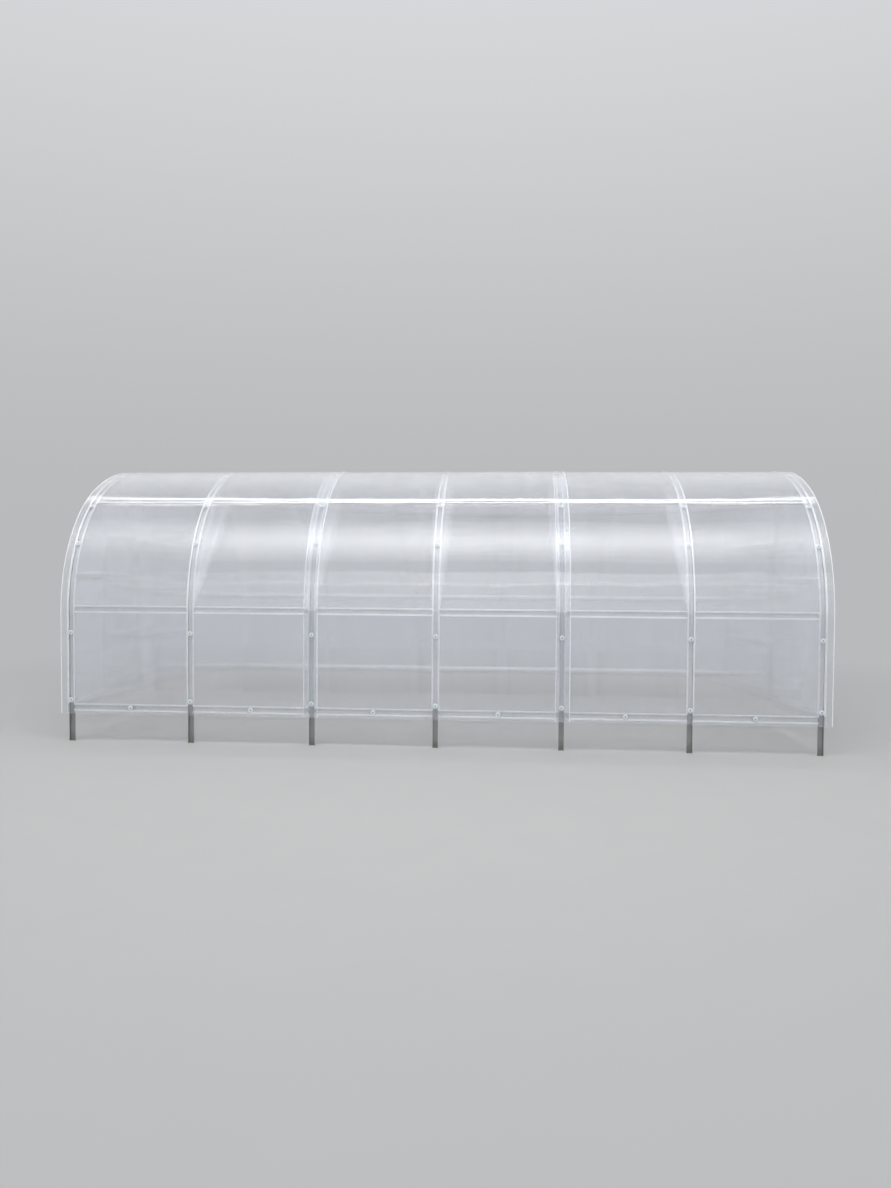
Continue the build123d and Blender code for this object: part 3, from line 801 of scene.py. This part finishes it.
both = ARCH_WASHERS + [around - along for along in reversed(ARCH_WASHERS)]
roof_washers = [roof_point(x, along) for x in ARCHES for along in both]
mid_bays = [(left + right) / 2 for left, right in zip(ARCHES, ARCHES[1:])]
roof_washers += [roof_point(x, along) for x in mid_bays for along in (0.0, around)]
wall_places = [(y, z) for y in (-POST_Y, POST_Y) for z in POST_WASHERS]
wall_places += [(side * y, SIDE_RAIL_Z) for side in (-1, 1) for y in SIDE_RAIL_WASHERS]
wall_places += [(side * y, RAIL_HEIGHT) for side in (-1, 1) for y in END_RAIL_WASHERS]
wall_places += [(-LINTEL_WASHER, LINTEL_Z), (LINTEL_WASHER, LINTEL_Z)]
wall_washers = [end_point(side, y, z) for side in ENDS.values() for y, z in wall_places]
grow("clamping_washers", WASHERS, roof_washers + wall_washers, WASHER, "frame", "washer_plastic")
grow("washer_screws", SCREWS, roof_washers + wall_washers, SCREW, "frame", "screw_steel", Lift=WASHER_TOP)

rail_places = [x + shift for x in ARCHES for shift in (-RAIL_SCREW_OFFSET, RAIL_SCREW_OFFSET)]
below_rails = (-RAIL_SCREW_DROP, around + RAIL_SCREW_DROP)
rail_screws = [roof_point(x, along) for x in rail_places for along in below_rails]
grow("rail_screws", SCREWS, rail_screws, FITTING, "frame", "screw_steel", **PAN_HEAD)

hinge_heights = [DOOR_BOTTOM + HINGE_FROM_EDGE, DOOR_TOP - HINGE_FROM_EDGE]
for end, side in ENDS.items():
    stiles = [(-STILE_Y, z) for z in HINGE_STILE_WASHERS]
    stiles += [(STILE_Y, z) for z in HANDLE_STILE_WASHERS]
    rails = [(0.0, z) for z in DOOR_RAIL_WASHERS]
    places = [end_point(side, y, z) for y, z in stiles + rails]
    grow(f"{end}_door_washers", WASHERS, places, WASHER, f"{end}_door", "washer_plastic")
    grow(f"{end}_door_washer_screws", SCREWS, places, SCREW, f"{end}_door", "screw_steel", Lift=WASHER_TOP)
    for body, reach in (("frame", 1), (f"{end}_door", -1)):
        places = []
        for z in hinge_heights:
            for y, lift in HINGE_SCREWS:
                places.append(end_point(side, HINGE_AXIS_Y + reach * y, z + lift, HINGE_PLATE_FACE))
        owner = "post" if body == "frame" else "door"
        grow(f"{end}_{owner}_hinge_screws", SCREWS, places, FITTING, body, "screw_steel", **PAN_HEAD)


# ---------------------------------------------------------------------------------------------
# Finishes on the parts that are kept as they are

KEPT = {
    "legs_front": LEG_ZINC,
    "legs_back": LEG_ZINC,
    "struts_front": LIGHTENED_STRUT_ZINC,
    "struts_back": LIGHTENED_STRUT_ZINC,
}
for end in ENDS:
    for node in ("door_posts", "side_rails", "door_frame"):
        KEPT[f"{end}_{node}"] = LIGHTENED_END_ZINC
    for node in ("door_handle", "door_hinges", "post_hinges"):
        KEPT[f"{end}_{node}"] = FITTING
for node, finish in KEPT.items():
    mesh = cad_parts[node].data
    mesh.materials.clear()
    mesh.materials.append(finish)


# ---------------------------------------------------------------------------------------------
# Studio

HORIZON = (0.49, (0.985, 1.0, 1.02))
ZENITH = (0.82, (0.97, 0.985, 1.01))
DIM_SURROUND = 0.85
FLOOR_REACH = 60.0
FLOOR_FADE = (3.2, 8.5)
HOUSE_MIDDLE = (0.0, 0.0, 1.0)
BAND_WIDTHS = (5.0, 3.6, 2.4, 1.2)
BAND_POWER = 28.0
BAND_PLACE = (0.0, -4.4, 7.6)
BAND_STEP = 0.02


def pale_world():
    """Even pale surround, a little lighter overhead."""
    world = bpy.data.worlds.new("pale_surround")
    world.use_nodes = True
    graph = Graph(world.node_tree)
    height = graph.parts(graph.add("ShaderNodeTexCoord").outputs["Generated"])[2]
    colour = graph.mix(graph.ranged(height, 0.0, 0.9), tone(*HORIZON), tone(*ZENITH))
    seen = graph.math("MULTIPLY", graph.straight_look(), 1.0 - DIM_SURROUND)
    strength = graph.math("ADD", seen, DIM_SURROUND)
    background = world.node_tree.nodes["Background"]
    graph.feed(background.inputs["Color"], colour)
    graph.feed(background.inputs["Strength"], strength)
    bpy.context.scene.world = world


def floor():
    """Pale floor that fades into the surround far from the house."""
    mesh = bpy.data.meshes.new("studio_floor")
    corners = [(FLOOR_REACH * x, FLOOR_REACH * y, 0) for x, y in ((-1, -1), (1, -1), (1, 1), (-1, 1))]
    mesh.from_pydata(corners, [], [(0, 1, 2, 3)])
    material, graph, shader = surface("pale_floor", roughness=0.85)
    place = graph.add("ShaderNodeTexCoord").outputs["Object"]
    mottle = graph.noise(place, 3.0, 5.0)
    colour = graph.mix(mottle, tone(0.40), tone(0.42, (1.0, 1.0, 0.99)))
    graph.feed(shader.inputs["Base Color"], colour)
    distance = graph.add("ShaderNodeVectorMath", {0: place}, operation="LENGTH").outputs["Value"]
    far = graph.math("MULTIPLY", graph.ranged(distance, *FLOOR_FADE), graph.straight_look())
    glow = graph.add("ShaderNodeEmission", {"Color": tone(*HORIZON), "Strength": 1.0}).outputs[0]
    blend = graph.add("ShaderNodeMixShader", {0: far, 1: shader.outputs[0], 2: glow})
    graph.feed(material.node_tree.nodes["Material Output"].inputs["Surface"], blend.outputs[0])
    mesh.materials.append(material)
    show("studio_floor", mesh)


def softbox(name, place, aim, size, power, mirrored=True, through=True):
    """Rectangular soft lamp aimed at a point, which shows in gloss and through clear sheets or not."""
    lamp = bpy.data.lights.new(name, "AREA")
    lamp.shape = "RECTANGLE"
    lamp.size, lamp.size_y = size
    lamp.energy = power
    box = bpy.data.objects.new(name, lamp)
    direction = Vector(aim) - Vector(place)
    box.matrix_world = Matrix.Translation(place) @ direction.to_track_quat("-Z", "Y").to_matrix().to_4x4()
    box.visible_glossy = mirrored
    box.visible_transmission = through
    bpy.context.scene.collection.objects.link(box)


def camera():
    """Camera at the photograph's viewing angle."""
    data = bpy.data.cameras.new("photo_camera")
    data.lens = PHOTO_LENS
    data.sensor_width = 36
    data.sensor_fit = "AUTO"
    data.clip_end = 200
    seat = bpy.data.objects.new("photo_camera", data)
    turn = Matrix.Rotation(radians(CAMERA_TURN), 4, "Z")
    dip = Matrix.Rotation(radians(90 - CAMERA_DIP), 4, "X")
    roll = Matrix.Rotation(radians(CAMERA_ROLL), 4, "Z")
    seat.matrix_world = Matrix.Translation(CAMERA_PLACE) @ turn @ dip @ roll
    bpy.context.scene.collection.objects.link(seat)
    bpy.context.scene.camera = seat


pale_world()
floor()
# Boxes of falling width at one place add up to a band whose edges fade.
for number, width in enumerate(BAND_WIDTHS):
    x, y, z = BAND_PLACE
    place = (x, y, z - BAND_STEP * number)
    softbox(f"front_softbox_{number}", place, HOUSE_MIDDLE, (11.0, width), BAND_POWER * width)
softbox("ridge_strip", (-0.25, 0.55, 6.7), (-0.25, 0.0, 1.0), (11.5, 0.28), 85.0)
softbox("front_fill", (1.0, -13.0, 7.5), HOUSE_MIDDLE, (10.0, 2.5), 110.0)
# These light the frame without showing as bright panes in the sheets.
softbox("front_sheen", (0.0, -10.0, 3.2), HOUSE_MIDDLE, (10.0, 4.0), 240.0, mirrored=False)
softbox("back_sheen", (0.0, 10.0, 3.2), HOUSE_MIDDLE, (10.0, 4.0), 150.0, mirrored=False, through=False)
for end, side in ENDS.items():
    softbox(f"{end}_sheen", (10.0 * side, -1.5, 3.2), HOUSE_MIDDLE, (5.0, 3.0), 130.0, mirrored=False)
camera()
bpy.context.scene.view_settings.view_transform = "Standard"
